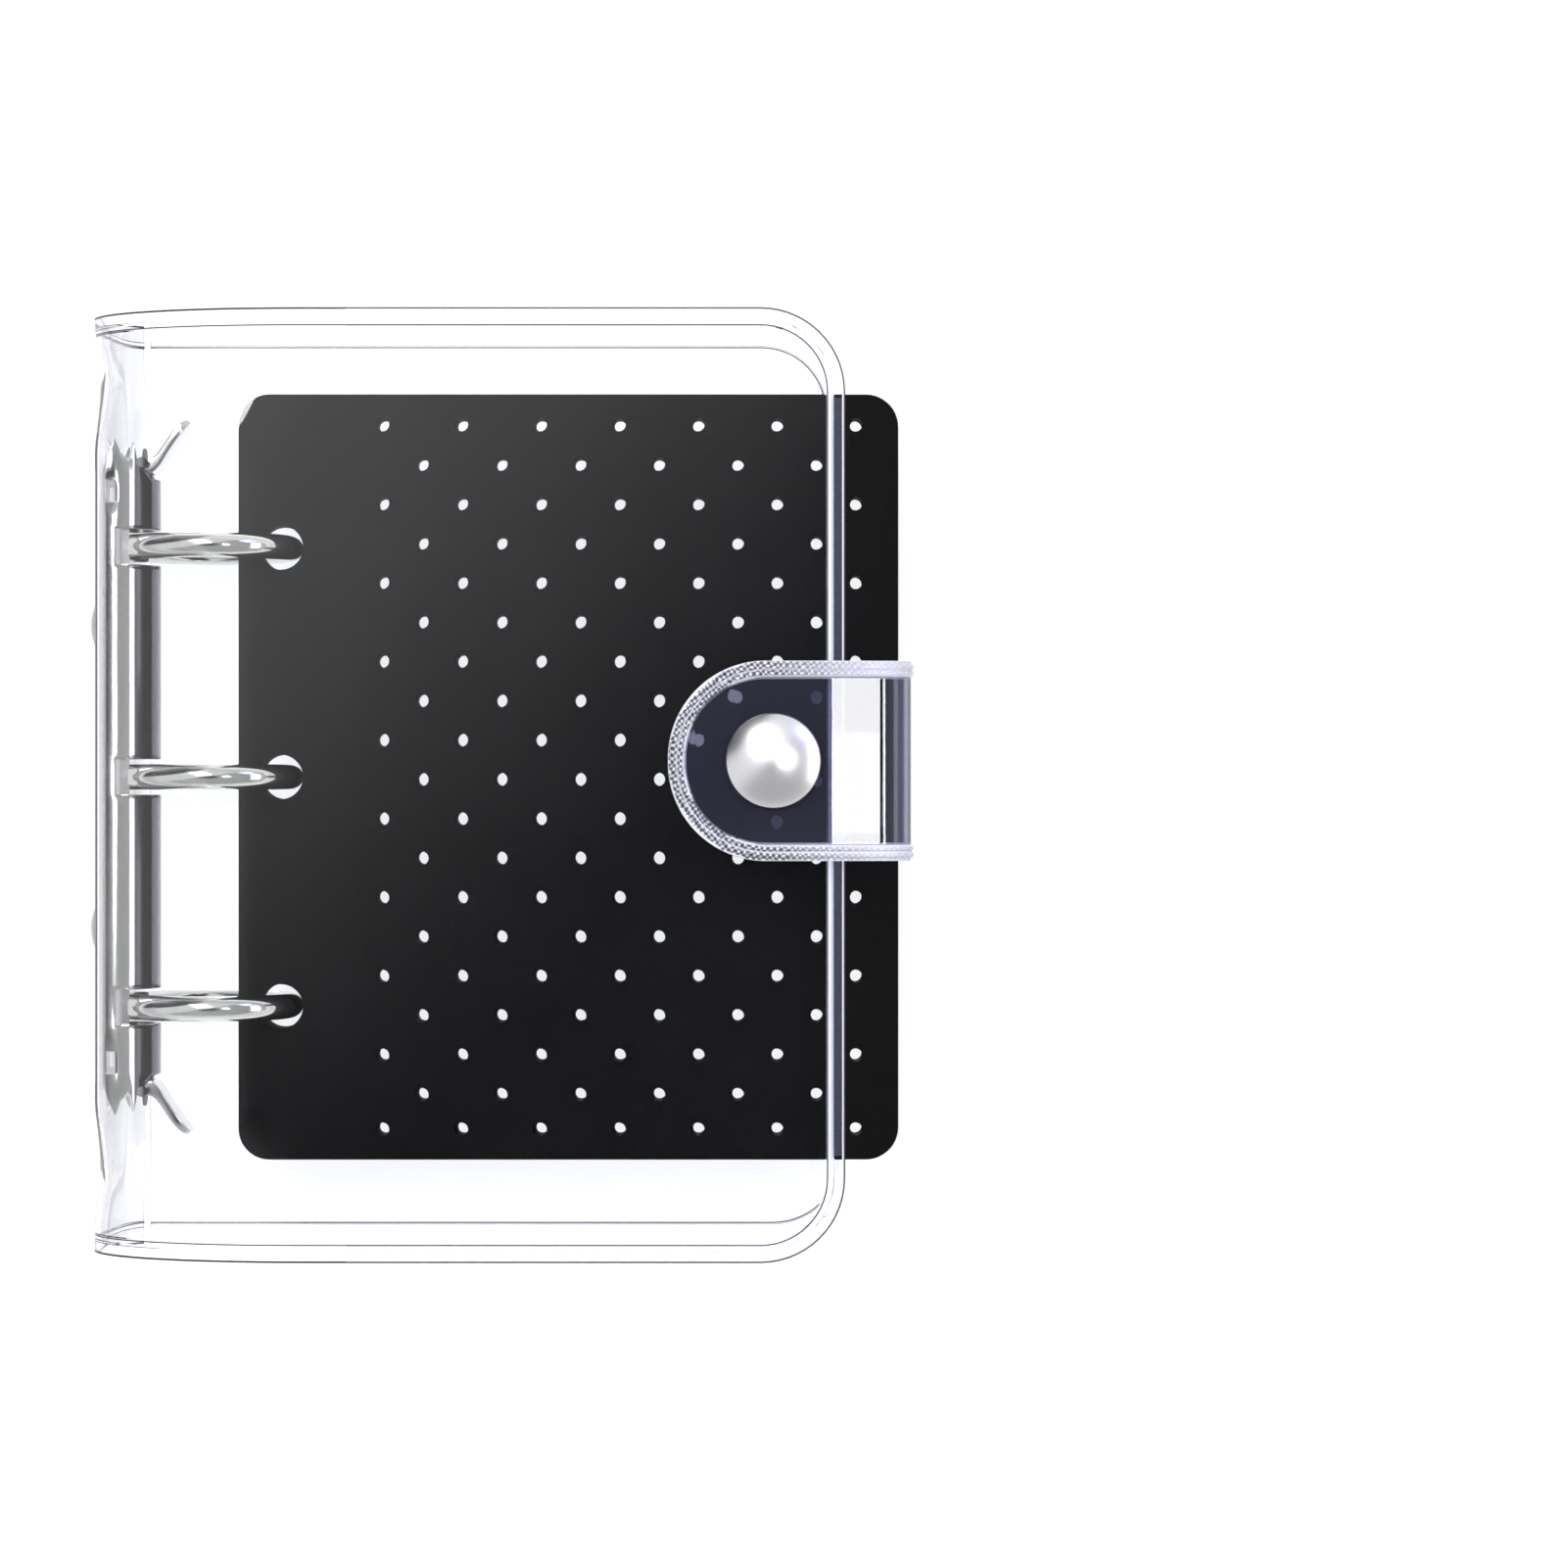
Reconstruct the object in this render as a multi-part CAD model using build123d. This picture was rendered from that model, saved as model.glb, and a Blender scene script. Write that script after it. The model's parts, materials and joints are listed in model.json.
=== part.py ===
from build123d import *
import math
import os

os.makedirs("parts", exist_ok=True)

# A closed ring book for pin badges, lying on its back cover, in millimetres.
# X runs from the spine to the open edge, Y up the cover, Z out of the front cover.
# The origin is the middle of the back cover's outer face.

# Clear vinyl cover, seen from the front and from its end
cover_extra_width = 11.5
cover_height = 126.5
book_depth = 32.0
cover_corner = 11.2
spine_round_reach = 21.5
back_round = 4.0
outer_sheet = 0.5
liner_sheet = 0.4
hinge_inset = 5.0
fold_slit = 0.3

# Weld line that joins the cover's two sheets
weld_inset = 1.6
weld_width = 0.9
weld_height = 0.2

# Ring mechanism
mechanism_rise = 1.1
shell_length = 91.0
shell_width = 15.0
shell_rise = 6.9
shell_wall = 0.8
shell_seat_gap = 0.5
ring_outer_diameter = 24.4
ring_wire = 3.4
ring_end_margin = 14.5
ring_count = 3
ring_reach = 27.1
ring_arc_degrees = 140.0
ring_tail = 6.0
ring_tip_gap = 0.2
notch_play = 0.7
notch_floor = 0.9

# Rails that carry the half rings inside the shell
rail_end_margin = 6.5
rail_width = 4.9
rail_thickness = 1.0
rail_axis_depth = 4.0
rail_gap = 0.3
rail_cutout = 5.2

# Thumb levers and their pins
lever_pin = 1.4
lever_play = 0.05
lever_pin_inset = 3.1
lever_pin_depth = 1.8
lever_width = 6.2
lever_hub = 3.0
lever_thickness = 1.2
lever_tab = 6.8
lever_tab_degrees = 54.0
lever_arm = 2.4
lever_arm_degrees = 217.0
lever_slot_play = 0.3
lever_slot_length = 6.2

# Rivets that hold the mechanism to the spine
rivet_head = 8.0
rivet_rise = 1.7
rivet_post = 3.4
rivet_end_margin = 25.0
rivet_play = 0.05
rivet_seat_gap = 0.1

# Punched pages
page_width = 89.0
page_height = 103.4
page_thickness = 0.8
page_pitch = 1.1
page_count = 6
page_corner = 4.2
punch_diameter = 6.0
punch_margin = 5.7
ring_play = 0.5

# Grid of pin holes in each page
pin_hole = 1.8
pin_pitch = 10.65
pin_columns = 7
pin_rows = 9
pin_side_margin = 5.65
pin_end_margin = 4.1

# Strap that wraps the open edge
strap_width = 26.4
strap_rise = 3.2
strap_sheet = 0.9
strap_bend = 3.2
strap_stand = 2.1
strap_side_play = 0.5
strap_tongue = 13.0
strap_overlap = 32.2
strap_rim = 2.1
strap_rim_height = 0.35

# Snap fastener
cap_diameter = 12.6
cap_rise = 2.6
cap_inset = 13.9
snap_post = 3.0
snap_play = 0.05
socket_diameter = 9.6
socket_height = 1.5
socket_web = 0.3
socket_bore = 4.7
stud_base_diameter = 9.0
stud_base_height = 0.5
stud_knob = 4.2
stud_knob_height = 1.1
stud_knob_round = 0.4
washer_height = 0.5

# One length that is past every edge it cuts
overrun = 20.0

# Places of the cover's folds
cover_width = page_width + cover_extra_width
middle_z = book_depth / 2
spine_x = -cover_width / 2
open_x = cover_width / 2
cover_sheet = outer_sheet + liner_sheet
spine_round_fall = (book_depth - shell_width) / 2 - shell_seat_gap
side_top_z = book_depth - spine_round_fall
round_x = spine_x + spine_round_reach
front_hinge_x = spine_x + hinge_inset
back_hinge_x = spine_x + back_round

# Places of the mechanism
base_x = spine_x + cover_sheet
crown_x = base_x + shell_rise
shell_radius = (shell_width ** 2 / 4 + shell_rise ** 2) / (2 * shell_rise)
shell_x = crown_x - shell_radius
ring_radius = (ring_outer_diameter - ring_wire) / 2
ring_x = spine_x + ring_reach - ring_outer_diameter / 2
rail_axis_x = crown_x - rail_axis_depth
rail_face_x = rail_axis_x + rail_thickness / 2
shell_end_y = mechanism_rise + shell_length / 2
shell_foot_y = mechanism_rise - shell_length / 2
ring_pitch = (shell_length - 2 * ring_end_margin) / (ring_count - 1)
ring_places = [shell_foot_y + ring_end_margin + n * ring_pitch for n in range(ring_count)]
rivet_places = [shell_end_y - rivet_end_margin, shell_foot_y + rivet_end_margin]
lever_pin_x = crown_x - lever_pin_depth
lever_pin_y = shell_end_y - lever_pin_inset


# Places of the pages: each hugs the ring where the ring crosses its height
def page_offset(number):
    """How far a page's middle lies above the rings' centre. Number 1 is at the front."""
    return ((page_count + 1) / 2 - number) * page_pitch


def punch_x(number):
    """Where a page's ring holes are, so that the wire has its play inside them."""
    offset = page_offset(number)
    slope = math.asin(offset / ring_radius)
    wire_reach = ring_wire / 2 / math.cos(slope) + page_thickness / 2 * abs(math.tan(slope))
    wire_x = ring_x + ring_radius * math.cos(slope)
    return wire_x + wire_reach + ring_play - punch_diameter / 2


pages_right_x = max(punch_x(n) for n in range(1, page_count + 1)) + page_width - punch_margin

# Places of the strap and its snap
strap_inner_x = pages_right_x + strap_side_play
strap_outer_x = strap_inner_x + strap_sheet
strap_end_x = strap_outer_x - strap_overlap
strap_bottom_z = cover_sheet + weld_height
strap_top_z = book_depth + strap_stand + strap_sheet
strap_fold_x = strap_outer_x - strap_bend
flap_fold_z = strap_top_z - strap_bend
flap_under_z = strap_top_z - strap_sheet
cap_x = strap_end_x + cap_inset


def slab(x, y, z):
    """A block between two places along each axis."""
    middle = [(low + high) / 2 for low, high in (x, y, z)]
    sides = [high - low for low, high in (x, y, z)]
    return Pos(*middle) * Box(*sides)


def all_y():
    """Past both ends of the book."""
    return (-cover_height / 2 - overrun, cover_height / 2 + overrun)


def all_z():
    """Past both faces of the book."""
    return (-overrun, book_depth + overrun)


def along_y(sketch):
    """A section whose second axis is the book's Z, drawn out both ways along Y."""
    return extrude(Rot(90, 0, 0) * sketch, amount=cover_height, both=True)


def rod(place, turn, radius, length):
    """A round bar that starts at a place and runs along its turned Z axis."""
    upright = Cylinder(radius, length, align=(Align.CENTER, Align.CENTER, Align.MIN))
    return Pos(*place) * turn * upright


def dome(diameter, rise):
    """The top of a ball, standing on Z zero."""
    ball = (diameter ** 2 / 4 + rise ** 2) / (2 * rise)
    keep = slab((-diameter, diameter), (-diameter, diameter), (0, 2 * rise))
    return (Pos(0, 0, rise - ball) * Sphere(ball)) & keep


def save(shape, node):
    """Write one named piece."""
    export_step(shape, "parts/" + node + ".step")


# Cover: outer sheet, liner and weld line, each cut at the two folds
def book_section(inset):
    """The closed book's outline seen from its end, drawn in by a distance."""
    top = book_depth - inset
    left = spine_x + inset
    far = open_x + overrun
    edges = [
        Line((far, top), (round_x, top)),
        EllipticalCenterArc((round_x, side_top_z), round_x - left, top - side_top_z, 90, arc_size=90),
        Line((left, side_top_z), (left, back_round)),
        CenterArc((back_hinge_x, back_round), back_round - inset, 180, 90),
        Line((back_hinge_x, inset), (far, inset)),
        Line((far, inset), (far, top)),
    ]
    return make_face(edges)


def book_layer(outer, inner):
    """One layer of sheet that follows the book round, between two depths."""
    return along_y(book_section(outer)) - along_y(book_section(inner))


def cover_block(inset):
    """The cover's outline seen from the front, through the whole depth."""
    half = cover_height / 2 - inset
    block = slab((spine_x - overrun, open_x - inset), (-half, half), all_z())
    corners = block.edges().filter_by(Axis.Z).sort_by(Axis.X)[-2:]
    return fillet(corners, cover_corner - inset)


def cover_zones():
    """Where the front cover, the spine and the back cover are, parted at the folds."""
    above = (middle_z, book_depth + overrun)
    below = (-overrun, middle_z)
    left = spine_x - overrun
    right = open_x + overrun
    spine = slab((left, front_hinge_x - fold_slit / 2), all_y(), above)
    spine += slab((left, back_hinge_x - fold_slit / 2), all_y(), below)
    front = slab((front_hinge_x + fold_slit / 2, right), all_y(), above)
    back = slab((back_hinge_x + fold_slit / 2, right), all_y(), below)
    return {"front_cover": front, "spine": spine, "back_cover": back}


def cover_holes():
    """The holes through both sheets for the rivets and the snap's stud."""
    turn = Rot(0, 90, 0)
    holes = rod((cap_x, strap_rise, middle_z), Rot(), snap_post / 2 + snap_play, book_depth)
    for place in rivet_places:
        holes += rod((spine_x - rivet_rise, place, middle_z), turn, rivet_post / 2 + rivet_play, shell_rise)
    return holes


def make_cover():
    """The sheets, liners and weld lines of the three panels."""
    holes = cover_holes()
    sheet = (book_layer(0, outer_sheet) & cover_block(0)) - holes
    liner = (book_layer(outer_sheet, cover_sheet) & cover_block(0)) - holes
    weld_ring = cover_block(weld_inset) - cover_block(weld_inset + weld_width)
    weld = book_layer(cover_sheet, cover_sheet + weld_height) & weld_ring
    for panel, zone in cover_zones().items():
        save(sheet & zone, panel + "_sheet")
        save(liner & zone, panel + "_liner")
        save(weld & zone, panel + "_weld")


# Ring mechanism: shell, pins and rivets stay with the spine
def shell_pipe(radius):
    """A round bar along the shell's whole length."""
    return Pos(shell_x, mechanism_rise, middle_z) * Rot(90, 0, 0) * Cylinder(radius, shell_length)


def lever_pin_rod(radius):
    """A round bar on a lever's pivot at the upper end, from side to side of the shell."""
    start = (lever_pin_x, lever_pin_y, middle_z - shell_width / 2)
    return rod(start, Rot(), radius, shell_width)


def at_both_ends(shape):
    """The upper end's shape, and its mirror image at the lower end."""
    return {"upper": shape, "lower": mirror(shape, Plane.XZ.offset(-mechanism_rise))}


def make_shell():
    """The arched shell, notched where each ring leaves it and slotted at its ends for the levers."""
    beyond = crown_x + overrun
    arch = shell_pipe(shell_radius) - shell_pipe(shell_radius - shell_wall)
    arch &= slab((base_x, beyond), all_y(), all_z())
    notch = ring_wire / 2 + notch_play
    for place in ring_places:
        arch -= slab((base_x + notch_floor, beyond), (place - notch, place + notch), all_z())
    slot = lever_width / 2 + lever_slot_play
    end = (shell_end_y - lever_slot_length, shell_end_y + overrun)
    opening = slab((lever_pin_x - lever_hub, beyond), end, (middle_z - slot, middle_z + slot))
    opening += lever_pin_rod(lever_pin / 2)
    for cut in at_both_ends(opening).values():
        arch -= cut
    save(arch, "ring_shell")


def make_pins():
    """The pin that each lever turns on, flush with the shell's sides."""
    pin = lever_pin_rod(lever_pin / 2) & shell_pipe(shell_radius)
    for end, shape in at_both_ends(pin).items():
        save(shape, "lever_pin_" + end)


def make_rivets():
    """Two domed rivets, each with its post up to the underside of the shell."""
    room = shell_pipe(shell_radius - shell_wall - rivet_seat_gap)
    for name, place in zip(("upper", "lower"), rivet_places):
        head = Pos(spine_x, place, middle_z) * Rot(0, -90, 0) * dome(rivet_head, rivet_rise)
        post = rod((spine_x, place, middle_z), Rot(0, 90, 0), rivet_post / 2, shell_radius + shell_rise)
        save(head + (post & room), "rivet_" + name)


# Rails and half rings, made for the front and mirrored for the back
def half_ring(place):
    """Bent wire from its seat on the front rail round to the ring's tip."""
    bend = CenterArc((0, 0), ring_radius, 0, ring_arc_degrees)
    tail = PolarLine(bend @ 1, ring_tail, ring_arc_degrees + 90)
    route = bend + tail
    wire = sweep(Plane(bend @ 0, z_dir=bend % 0) * Circle(ring_wire / 2), path=route)
    standing = Pos(ring_x, place, middle_z) * Rot(90, 0, 0) * wire
    room = slab((rail_face_x, open_x), all_y(), (middle_z + ring_tip_gap / 2, book_depth))
    return standing & room


def front_rail():
    """The strip that carries the front half rings, cut out around the rivets."""
    x = (rail_axis_x - rail_thickness / 2, rail_face_x)
    y = (shell_foot_y + rail_end_margin, shell_end_y - rail_end_margin)
    rail = slab(x, y, (middle_z + rail_gap / 2, middle_z + rail_width))
    for place in rivet_places:
        rail -= rod((base_x, place, middle_z), Rot(0, 90, 0), rail_cutout / 2, shell_rise)
    return rail


def make_rings():
    """Both rails with their half rings, numbered from the foot of the book."""
    flip = Plane.XY.offset(middle_z)
    rail = front_rail()
    save(rail, "rail_front")
    save(mirror(rail, flip), "rail_back")
    for number, place in enumerate(ring_places, 1):
        ring = half_ring(place)
        save(ring, f"ring_front_{number}")
        save(mirror(ring, flip), f"ring_back_{number}")


# Thumb levers
def lever_strip(length, degrees):
    """A strip that leaves the pivot at an angle, in the book's XY plane."""
    strip = Pos(length / 2, 0) * Rectangle(length, lever_thickness)
    return Pos(lever_pin_x, lever_pin_y) * Rot(0, 0, degrees) * strip


def make_levers():
    """A hub on the pin, an arm that spreads the rails and a tab for the thumb."""
    hub = Pos(lever_pin_x, lever_pin_y) * Circle(lever_hub / 2)
    flat = hub + lever_strip(lever_tab, lever_tab_degrees) + lever_strip(lever_arm, lever_arm_degrees)
    lever = Pos(0, 0, middle_z) * extrude(flat, amount=lever_width / 2, both=True)
    lever -= lever_pin_rod(lever_pin / 2 + lever_play)
    for end, shape in at_both_ends(lever).items():
        save(shape, "lever_" + end)


# Pages
def pin_places():
    """The pin holes' places on a page whose left edge is at zero: full rows with offset rows between."""
    right = page_width - pin_side_margin
    top = page_height / 2 - pin_end_margin
    places = []
    for row in range(pin_rows):
        for column in range(pin_columns):
            places.append((right - column * pin_pitch, top - row * pin_pitch))
        for column in range(pin_columns - 1):
            places.append((right - (column + 0.5) * pin_pitch, top - (row + 0.5) * pin_pitch))
    for column in range(pin_columns):
        places.append((right - column * pin_pitch, -top))
    return places


def make_pages():
    """One punched sheet, laid on the rings once for each page."""
    outline = Pos(page_width / 2, 0) * RectangleRounded(page_width, page_height, page_corner)
    punches = [(punch_margin, place - mechanism_rise) for place in ring_places]
    outline -= [Pos(*place) * Circle(punch_diameter / 2) for place in punches]
    outline -= [Pos(*place) * Circle(pin_hole / 2) for place in pin_places()]
    sheet = extrude(outline, amount=page_thickness / 2, both=True)
    for number in range(1, page_count + 1):
        height = middle_z + page_offset(number)
        save(Pos(punch_x(number) - punch_margin, mechanism_rise, height) * sheet, f"page_{number}")


# Strap: tongue on the back cover, band up the open edge, flap over the front cover
def strap_section(inset):
    """The outline that the strap follows, seen from the book's end, drawn in by a distance."""
    right = strap_outer_x - inset
    low = strap_bottom_z + inset
    high = strap_top_z - inset
    bend = strap_bend - inset
    corner_x = right - bend
    edges = [
        Line((spine_x, low), (corner_x, low)),
        CenterArc((corner_x, low + bend), bend, -90, 90),
        Line((right, low + bend), (right, high - bend)),
        CenterArc((corner_x, high - bend), bend, 0, 90),
        Line((corner_x, high), (spine_x, high)),
        Line((spine_x, high), (spine_x, low)),
    ]
    return make_face(edges)


def strap_block(inset):
    """The strap's outline seen from the front, with its round end, through the whole depth."""
    half = strap_width / 2 - inset
    centre_x = strap_end_x + strap_width / 2
    side = slab((centre_x, strap_outer_x + overrun), (strap_rise - half, strap_rise + half), all_z())
    return side + rod((centre_x, strap_rise, -overrun), Rot(), half, book_depth + 2 * overrun)


def make_strap():
    """The strap's three lengths of sheet and the welded rim on the two that show."""
    sheet = along_y(strap_section(0)) - along_y(strap_section(strap_sheet))
    raised = along_y(strap_section(-strap_rim_height)) - along_y(strap_section(0))
    rim = raised & (strap_block(0) - strap_block(strap_rim))
    hole = rod((cap_x, strap_rise, middle_z), Rot(), snap_post / 2 + snap_play, book_depth)
    far = strap_outer_x + overrun
    band_x = (strap_fold_x + fold_slit / 2, far)
    band = slab(band_x, all_y(), (-overrun, flap_fold_z - fold_slit / 2))
    flap = slab((strap_end_x, far), all_y(), (flap_fold_z + fold_slit / 2, book_depth + overrun))
    tongue_x = (open_x - strap_tongue, strap_fold_x - fold_slit / 2)
    tongue_y = (strap_rise - strap_width / 2, strap_rise + strap_width / 2)
    tongue = slab(tongue_x, tongue_y, (-overrun, middle_z))
    save(sheet & tongue, "strap_tongue")
    save(sheet & strap_block(0) & band, "strap_band")
    save(rim & band, "strap_band_rim")
    save((sheet & strap_block(0) & flap) - hole, "strap_flap")
    save(rim & flap, "strap_flap_rim")


# Snap fastener
def make_snap():
    """Cap and socket on the flap, stud and washer on the front cover."""
    up = Rot()
    cap = Pos(cap_x, strap_rise, strap_top_z) * dome(cap_diameter, cap_rise)
    cap += rod((cap_x, strap_rise, flap_under_z), up, snap_post / 2, strap_sheet)
    save(cap, "snap_cap")
    socket_z = flap_under_z - socket_height
    socket = rod((cap_x, strap_rise, socket_z), up, socket_diameter / 2, socket_height)
    socket -= rod((cap_x, strap_rise, socket_z), up, socket_bore / 2, socket_height - socket_web)
    save(socket, "snap_socket")
    liner_z = book_depth - cover_sheet
    stud = rod((cap_x, strap_rise, book_depth), up, stud_base_diameter / 2, stud_base_height)
    knob = rod((cap_x, strap_rise, book_depth), up, stud_knob / 2, stud_base_height + stud_knob_height)
    stud += fillet(knob.edges().sort_by(Axis.Z)[-1], stud_knob_round)
    stud += rod((cap_x, strap_rise, liner_z), up, snap_post / 2, cover_sheet)
    save(stud, "snap_stud")
    washer = rod((cap_x, strap_rise, liner_z - washer_height), up, stud_base_diameter / 2, washer_height)
    save(washer, "snap_washer")


make_cover()
make_shell()
make_pins()
make_rivets()
make_rings()
make_levers()
make_pages()
make_strap()
make_snap()
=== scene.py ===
import json
import math

import bmesh
import bpy
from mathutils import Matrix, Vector

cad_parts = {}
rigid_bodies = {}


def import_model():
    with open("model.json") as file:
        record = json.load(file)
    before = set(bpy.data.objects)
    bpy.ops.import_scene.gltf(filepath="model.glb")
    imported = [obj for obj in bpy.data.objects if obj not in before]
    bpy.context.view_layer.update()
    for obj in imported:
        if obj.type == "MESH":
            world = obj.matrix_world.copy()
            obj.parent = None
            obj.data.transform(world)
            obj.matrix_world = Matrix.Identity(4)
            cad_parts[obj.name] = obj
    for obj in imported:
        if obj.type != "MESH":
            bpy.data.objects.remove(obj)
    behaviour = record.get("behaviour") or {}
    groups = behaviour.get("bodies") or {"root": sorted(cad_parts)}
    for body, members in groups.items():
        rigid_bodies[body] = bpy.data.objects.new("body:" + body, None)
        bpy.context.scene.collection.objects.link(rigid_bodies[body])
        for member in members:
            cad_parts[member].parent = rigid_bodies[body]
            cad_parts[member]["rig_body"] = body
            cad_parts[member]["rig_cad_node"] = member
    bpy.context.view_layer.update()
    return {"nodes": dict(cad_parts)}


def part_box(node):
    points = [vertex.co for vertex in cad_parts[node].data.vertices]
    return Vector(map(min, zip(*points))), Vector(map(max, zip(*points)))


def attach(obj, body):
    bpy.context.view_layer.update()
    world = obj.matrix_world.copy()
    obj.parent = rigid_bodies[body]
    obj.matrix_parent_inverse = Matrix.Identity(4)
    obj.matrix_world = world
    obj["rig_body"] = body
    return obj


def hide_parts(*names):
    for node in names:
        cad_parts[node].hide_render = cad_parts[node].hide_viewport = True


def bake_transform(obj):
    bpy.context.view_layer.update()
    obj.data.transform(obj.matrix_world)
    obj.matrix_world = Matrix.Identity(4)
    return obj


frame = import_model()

# A clear vinyl ring book for pin badges. Lengths here are in millimetres and become metres by mm.
mm = 0.001


def low(node):
    """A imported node's lowest corner, in millimetres."""
    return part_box(node)[0] / mm


def high(node):
    """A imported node's highest corner, in millimetres."""
    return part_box(node)[1] / mm


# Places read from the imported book
spine_x = low("spine_sheet").x
open_x = high("front_cover_sheet").x
half_height = high("front_cover_sheet").y
cover_top = high("front_cover_sheet").z
middle_z = cover_top / 2
back_fold_x = low("back_cover_sheet").x
shell_crown = high("ring_shell").x
shell_base = low("ring_shell").x
shell_foot = low("ring_shell").y
shell_head = high("ring_shell").y
shell_half = (high("ring_shell").z - low("ring_shell").z) / 2
mechanism_y = (shell_foot + shell_head) / 2
mechanism_half = (shell_head - shell_foot) / 2
ring_y = [(low(f"ring_front_{n}").y + high(f"ring_front_{n}").y) / 2 for n in (1, 2, 3)]
strap_low_y = low("strap_flap").y
strap_high_y = high("strap_flap").y
strap_y = (strap_low_y + strap_high_y) / 2
strap_half = (strap_high_y - strap_low_y) / 2
strap_end = low("strap_flap").x
strap_outer = high("strap_flap").x
strap_top = high("strap_flap").z
cap_x = (low("snap_cap").x + high("snap_cap").x) / 2
cap_half = (high("snap_cap").x - low("snap_cap").x) / 2
cap_top = high("snap_cap").z


# Mesh helpers
def rest():
    """Leaves edit mode with nothing selected."""
    if bpy.context.object and bpy.context.object.mode == "EDIT":
        bpy.ops.object.mode_set(mode="OBJECT")
    bpy.ops.object.select_all(action="DESELECT")


def edit(piece):
    """Opens one piece for editing."""
    rest()
    piece.select_set(True)
    bpy.context.view_layer.objects.active = piece
    bpy.ops.object.mode_set(mode="EDIT")


def pick(piece, kind, wanted):
    """Selects the points, edges or faces whose middle, in millimetres, and normal fit."""
    bpy.ops.mesh.select_mode(type=kind)
    bpy.ops.mesh.select_all(action="DESELECT")
    shape = bmesh.from_edit_mesh(piece.data)
    shape.normal_update()
    for point in shape.verts if kind == "VERT" else ():
        point.select_set(wanted(point.co / mm, point.normal))
    for edge in shape.edges if kind == "EDGE" else ():
        edge.select_set(wanted((edge.verts[0].co + edge.verts[1].co) / 2 / mm, edge))
    for face in shape.faces if kind == "FACE" else ():
        face.select_set(wanted(face.calc_center_median() / mm, face.normal))
    shape.select_flush_mode()
    bmesh.update_edit_mesh(piece.data)


def cut(piece, axis, places):
    """Cuts the whole piece across an axis at each place."""
    way = Vector((axis == "X", axis == "Y", axis == "Z"))
    for place in places:
        bpy.ops.mesh.select_all(action="SELECT")
        bpy.ops.mesh.bisect(plane_co=way * place * mm, plane_no=way)


def trim(piece, axis, place, keep_below):
    """Cuts the piece across an axis and drops what lies past the cut."""
    way = Vector((axis == "X", axis == "Y", axis == "Z"))
    bpy.ops.mesh.select_all(action="SELECT")
    bpy.ops.mesh.bisect(plane_co=way * place * mm, plane_no=way,
                        clear_outer=keep_below, clear_inner=not keep_below)


def blank(name, x, y):
    """A flat blank of sheet between two places along X and Y, open for editing."""
    rest()
    middle = Vector(((x[0] + x[1]) / 2, (y[0] + y[1]) / 2, 0)) * mm
    bpy.ops.mesh.primitive_plane_add(size=mm, location=middle)
    piece = bpy.context.object
    piece.name = name
    bpy.ops.transform.resize(value=(x[1] - x[0], y[1] - y[0], 1))
    settle(piece)
    edit(piece)
    return piece


def settle(piece):
    """Puts the piece's place and size into its mesh, with its object at the origin."""
    rest()
    piece.select_set(True)
    bpy.context.view_layer.objects.active = piece
    bpy.ops.object.transform_apply(location=True, rotation=True, scale=True)
    rest()


def modify(piece, kind, **settings):
    """Adds one modifier and applies it."""
    rest()
    piece.select_set(True)
    bpy.context.view_layer.objects.active = piece
    modifier = piece.modifiers.new(kind.lower(), kind)
    for name, value in settings.items():
        setattr(modifier, name, value)
    bpy.ops.object.modifier_apply(modifier=modifier.name)


def smooth(piece, degrees=35):
    """Smooth shading that keeps sharp edges."""
    rest()
    piece.select_set(True)
    bpy.context.view_layer.objects.active = piece
    bpy.ops.object.shade_smooth_by_angle(angle=math.radians(degrees))
    rest()


def outward(piece):
    """Merges doubles and turns every face outwards."""
    edit(piece)
    bpy.ops.mesh.select_all(action="SELECT")
    bpy.ops.mesh.remove_doubles(threshold=0.0005 * mm)
    bpy.ops.mesh.normals_make_consistent(inside=False)
    rest()


def round_corners(piece, wanted, radius, segments):
    """Rounds the picked corner points of a flat blank."""
    pick(piece, "VERT", wanted)
    bpy.ops.mesh.bevel(offset=radius * mm, offset_type="OFFSET", segments=segments, affect="VERTICES")


def inset_rings(piece, rings):
    """Insets a flat piece's largest face, so that it has a ring at each distance from its edge."""
    for before, ring in zip((0, *rings), rings):
        pick(piece, "FACE", lambda p, n: False)
        shape = bmesh.from_edit_mesh(piece.data)
        max(shape.faces, key=lambda face: face.calc_area()).select_set(True)
        bmesh.update_edit_mesh(piece.data)
        bpy.ops.mesh.inset(thickness=(ring - before) * mm)


def soften(piece, width, sharp=50):
    """Bevels the edges that are sharper than an angle, in degrees."""
    modify(piece, "BEVEL", width=width * mm, segments=2, limit_method="ANGLE",
           angle_limit=math.radians(sharp))


# Materials
vinyl_index = 1.45
# Between these places along X the vinyl's colour is painted grey towards the spine, as shade
full_grey_x = -48.6
no_grey_x = -44.6
# Scale of a wave texture whose ribs are 0.6 mm apart
rib_scale = 523.0


def colour(sheet_hex):
    """An sRGB hex colour as a linear one."""
    parts = [int(sheet_hex[n:n + 2], 16) / 255 for n in (1, 3, 5)]
    linear = [c / 12.92 if c <= 0.04045 else ((c + 0.055) / 1.055) ** 2.4 for c in parts]
    return (*linear, 1)


def add(tree, kind, inputs=None, **settings):
    """Adds a node, with its settings, its values and the sockets that feed it."""
    node = tree.nodes.new("ShaderNode" + kind)
    for name, value in settings.items():
        setattr(node, name, value)
    for name, value in (inputs or {}).items():
        if isinstance(value, bpy.types.NodeSocket):
            tree.links.new(value, node.inputs[name])
        else:
            node.inputs[name].default_value = value
    return node


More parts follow.
